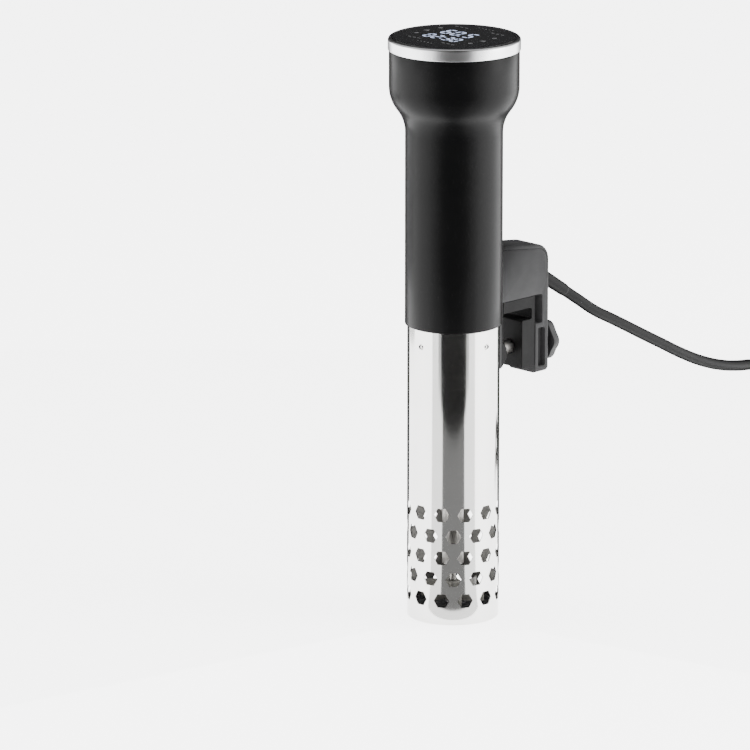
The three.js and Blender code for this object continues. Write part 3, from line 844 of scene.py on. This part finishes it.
def make_jaws():
    """The outer liner with its block, and the ridge on the body's side."""
    low, top = span("jaw_liner", 2)
    front = span("jaw_liner", 1)[0]
    half = span("jaw_liner", 0)[1]
    under = ROOF_Z - LINER_DROP
    face = LINER_BACK - LINER_THICK
    liner = prism("jaw_liner_soft", rounded([
        (front, top, 0), (front, under, 0.8), (face, under, 2.0), (face, BLOCK_TOP, 1.2),
        (BLOCK_FACE, BLOCK_TOP, 1.2), (BLOCK_FACE, low, 0.8), (LINER_BACK, low, 0.8),
        (LINER_BACK, top, 0)], 6), -half, half, "jaw_rubber")
    cut(liner, screw_bore("liner_bore", SCREW_R + 0.35, BLOCK_FACE - 2, 70))
    bevel(liner, 0.4, 3)
    stand_for(liner, "housing", "jaw_liner")
    low_pad, high_pad = span("inner_jaw_pad", 2)
    front, ridge = span("inner_jaw_pad", 1)
    pad = prism("inner_jaw_ridge", rounded([
        (front, high_pad, 0), (front, low_pad, 0), (front + 0.8, low_pad, 0.3), (ridge, SCREW_Z - 3.5, 1.0),
        (ridge, SCREW_Z + 3.5, 1.0), (front + 1.3, SCREW_Z + 7, 1.5), (front + 1.3, high_pad, 0.3)], 5),
        -half, half, "jaw_rubber")
    bevel(pad, 0.3, 2)
    stand_for(pad, "housing", "inner_jaw_pad")


def make_knob():
    """A knob with six soft lobes, and the cap on its end."""
    low, high = span("clamp_knob", 1)
    radius = span("clamp_knob", 0)[1]
    lobes = 6
    lobe_depth = 1.3
    count = 144
    thick = high - low
    levels = [(-0.9, 0.0), (-0.25, 0.25), (0.0, 0.9),
              (0.0, thick - 1.3), (-0.35, thick - 0.4), (-1.2, thick)]
    bm = bmesh.new()
    rings = []
    for inset, height in levels:
        ring = []
        for i in range(count):
            angle = 2 * math.pi * i / count
            r = radius + inset - lobe_depth * (1 - math.cos(lobes * angle)) / 2
            ring.append(bm.verts.new((r * MM * math.cos(angle), r * MM * math.sin(angle), height * MM)))
        rings.append(ring)
    skin(bm, rings)
    knob = link("clamp_knob_lobed", mesh_from(bm, "clamp_knob_lobed"), "knob_grey", 30)
    placed(knob, along_screw(low))
    cut(knob, screw_bore("socket", SCREW_R + 0.3, low - 2, span("clamp_screw", 1)[1] + 0.3))
    stand_for(knob, "screw", "clamp_knob")
    low, high = span("knob_cap", 1)
    cap = lathe("knob_end_cap", rounded([(0, low, 0), (6.5, low, 0), (6.5, high, 0.6), (0, high, 0)], 4),
                "knob_grey", 72, closed=False)
    placed(cap, along_screw())
    stand_for(cap, "screw", "knob_cap")


def make_screw():
    """A plain tip, then a rounded thread of 2 mm pitch up to the knob, and the soft pad on the tip."""
    low, high = span("clamp_screw", 1)
    thread_start = 58
    pitch = 2.0
    depth = 0.5
    count = 48
    step = 0.25
    levels = int((high - low) / step)
    bm = bmesh.new()
    rings = []
    for k in range(levels + 1):
        y = low + (high - low) * k / levels
        ring = []
        for i in range(count):
            turn = i / count
            phase = (y / pitch - turn) % 1
            groove = depth * (0.5 - 0.5 * math.cos(2 * math.pi * phase))
            groove *= eased(y, thread_start, thread_start + pitch)
            edge = 0.5 if k in (0, levels) else 0
            r = SCREW_R - groove - edge
            angle = 2 * math.pi * turn
            ring.append(bm.verts.new((r * MM * math.cos(angle), r * MM * math.sin(angle), y * MM)))
        rings.append(ring)
    skin(bm, rings)
    bmesh.ops.recalc_face_normals(bm, faces=bm.faces)
    screw = link("clamp_screw_threaded", mesh_from(bm, "clamp_screw_threaded"), "screw_steel", 60)
    placed(screw, along_screw())
    stand_for(screw, "screw", "clamp_screw")
    low, high = span("pressure_pad", 1)
    profile = rounded([(0, low, 0), (5.2, low, 0.7), (5.2, high, 0.5), (0, high, 0)], 5)
    pad = lathe("pressure_pad_soft", profile, "jaw_rubber", 64, closed=False)
    placed(pad, along_screw())
    stand_for(pad, "jaw_slider", "pressure_pad")


# ---------------------------------------------------------------- wet parts seen through the holes
def make_impeller():
    """Six swept blades between two radii, and a hub."""
    low, high = span("impeller", 2)
    blades = 6
    root, tip = 4.2, 20.8
    blade_thick = 1.3
    bm = bmesh.new()
    for k in range(blades):
        base = 2 * math.pi * k / blades
        sides = []
        steps = 8
        for edge in (-0.5, 0.5):
            row = []
            for i in range(steps + 1):
                r = root + (tip - root) * i / steps
                angle = base + 0.5 * (i / steps) ** 1.3
                off = edge * blade_thick / r
                row.append((r * math.cos(angle + off), r * math.sin(angle + off)))
            sides.append(row)
        outline = sides[0] + sides[1][::-1]
        skin(bm, [[bm.verts.new((x * MM, y * MM, z * MM)) for x, y in outline]
                  for z in (low + 1, high - 1)])
    bmesh.ops.recalc_face_normals(bm, faces=bm.faces)
    blades_piece = link("impeller_blades", mesh_from(bm, "impeller_blades"), "white_nylon")
    profile = rounded([(2.3, low, 0.3), (5, low, 0.5), (5, high, 0.8), (2.3, high, 0.3)], 3)
    hub = lathe("impeller_hub", profile, "white_nylon", 64)
    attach(hub, "drive")
    stand_for(blades_piece, "drive", "impeller")


def make_shafts():
    """The still guard tube, and the drive shaft that turns in it."""
    low, high = span("shaft_guard_tube", 2)
    profile = rounded([(6, low, 0.2), (7, low, 0.2), (7, high, 0.2), (6, high, 0.2)], 2)
    guard = lathe("guard_tube_drawn", profile, "wet_steel", 96)
    stand_for(guard, "housing", "shaft_guard_tube")
    low, high = span("drive_shaft", 2)
    shaft = lathe("drive_shaft_ground", [(0, low), (1.6, low), (2, low + 0.4), (2, high), (0, high)],
                  "wet_steel", 48, closed=False)
    stand_for(shaft, "drive", "drive_shaft")


make_body()
make_ring()
make_display()
make_sleeve()
make_base_cap()
make_bracket()
make_jaws()
make_knob()
make_screw()
make_impeller()
make_shafts()


# ---------------------------------------------------------------- stage
ROOM_LIGHT = 3.1
SEEN_ROOM = 4.2  # the white behind the object, as the camera sees it
FLOOR_GLOW = 3.0
FLOOR_R = 25


def make_stage():
    """A wide white floor that also gives off some light."""
    bm = bmesh.new()
    bmesh.ops.create_circle(bm, cap_ends=True, segments=64, radius=FLOOR_R)
    MAT["floor"] = material("floor", (0.86, 0.86, 0.86), 0.6, mottle=(3, 0.01), Emission_Color=(1, 1, 1, 1),
                            Emission_Strength=FLOOR_GLOW)
    link("floor", mesh_from(bm, "floor"), "floor")


def make_world():
    """An even white room. The camera sees its own plain white behind the object."""
    world = bpy.data.worlds.new("world")
    bpy.context.scene.world = world
    world.use_nodes = True
    nodes, links = world.node_tree.nodes, world.node_tree.links
    room = nodes["Background"]
    room.inputs["Color"].default_value = (1, 1, 1, 1)
    room.inputs["Strength"].default_value = ROOM_LIGHT
    seen = nodes.new("ShaderNodeBackground")
    seen.inputs["Color"].default_value = (1.0, 0.99, 0.995, 1)
    seen.inputs["Strength"].default_value = SEEN_ROOM
    mix = nodes.new("ShaderNodeMixShader")
    links.new(nodes.new("ShaderNodeLightPath").outputs["Is Camera Ray"], mix.inputs["Fac"])
    links.new(room.outputs["Background"], mix.inputs[1])
    links.new(seen.outputs["Background"], mix.inputs[2])
    links.new(mix.outputs["Shader"], nodes["World Output"].inputs["Surface"])


def make_card(name, corners, turn, color):
    """A studio card that only reflections see, from corners in its own frame, turned about Z."""
    bm = bmesh.new()
    bm.faces.new([bm.verts.new(corner) for corner in corners])
    mesh = mesh_from(bm, name)
    made = bpy.data.materials.new(name)
    made.use_nodes = True
    shader = made.node_tree.nodes["Principled BSDF"]
    shader.inputs["Base Color"].default_value = (color, color, color, 1)
    shader.inputs["Roughness"].default_value = 1.0
    shader.inputs["Specular IOR Level"].default_value = 0.0
    mesh.materials.append(made)
    card = bpy.data.objects.new(name, mesh)
    bpy.context.collection.objects.link(card)
    card.rotation_euler = (0, 0, turn)
    card.visible_camera = False
    card.visible_diffuse = False
    card.visible_shadow = False
    card.visible_transmission = False


def upright(distance, width, low, high):
    """A standing card's corners, with the card on the side it is turned to."""
    half = width / 2
    return [(-half, -distance, low), (half, -distance, low), (half, -distance, high),
            (-half, -distance, high)]


def lying(near, near_width, far, far_width, height):
    """A floor card's corners: a wedge that widens away from the object."""
    near_half, far_half = near_width / 2, far_width / 2
    return [(-near_half, -near, height), (-far_half, -far, height), (far_half, -far, height),
            (near_half, -near, height)]


FRONT = VIEW_AZIMUTH  # the camera's side
BACK = VIEW_AZIMUTH + math.pi
LEFT_BACK = BACK + 0.93
CARDS = [  # name, corners in m, side, tone
    # between the camera and the object: each is behind the one before it and shows past its sides
    ("dark_front", upright(0.5, 0.60, 0.0, 2.0), FRONT, 0.005),
    ("mid_front", upright(0.52, 0.80, 0.0, 2.0), FRONT, 0.2),
    ("pale_front", upright(0.54, 1.5, 0.0, 2.0), FRONT, 0.65),
    # on the floor in front: pale, with a dark wedge on top of it
    ("pale_floor", lying(0.04, 0.1, 0.55, 1.5, 0.0005), FRONT, 0.8),
    ("dark_floor", lying(0.06, 0.06, 0.5, 0.5, 0.001), FRONT, 0.09),
    # low on the left behind the object: tones down what its left edge reflects
    ("left_back", upright(0.75, 0.42, 0.0, 0.175), LEFT_BACK, 0.4),
    # behind the object: keeps the white room out of its grazing reflections
    ("grey_back", upright(0.7, 1.2, 0.0, 0.45), BACK, 0.03),
    ("grey_floor", lying(0.06, 0.1, 0.7, 1.2, 0.001), BACK, 0.03),
    ("dark_back", upright(0.7, 1.4, 0.45, 2.0), BACK, 0.01),
]


def make_light(name, azimuth, elevation, distance, size, power):
    """A soft box, turned to the middle of the object. Azimuth 0 is at the front, as a camera's is."""
    data = bpy.data.lights.new(name, "AREA")
    data.shape = "RECTANGLE"
    data.size, data.size_y = size
    data.energy = power
    light = bpy.data.objects.new(name, data)
    bpy.context.collection.objects.link(light)
    a, e = math.radians(azimuth), math.radians(elevation)
    towards = Vector((math.cos(e) * math.sin(a), -math.cos(e) * math.cos(a), math.sin(e)))
    light.location = Vector((0, 0, 0.2)) + towards * distance
    light.rotation_euler = (-towards).to_track_quat("-Z", "Y").to_euler()


make_stage()
make_world()
make_light("soft_right", 125, 25, 1.6, (0.9, 1.6), 30)
make_light("soft_left", -40, 25, 1.8, (0.8, 1.6), 12)
for card_name, corners, side, tone in CARDS:
    make_card(card_name, corners, side, tone)
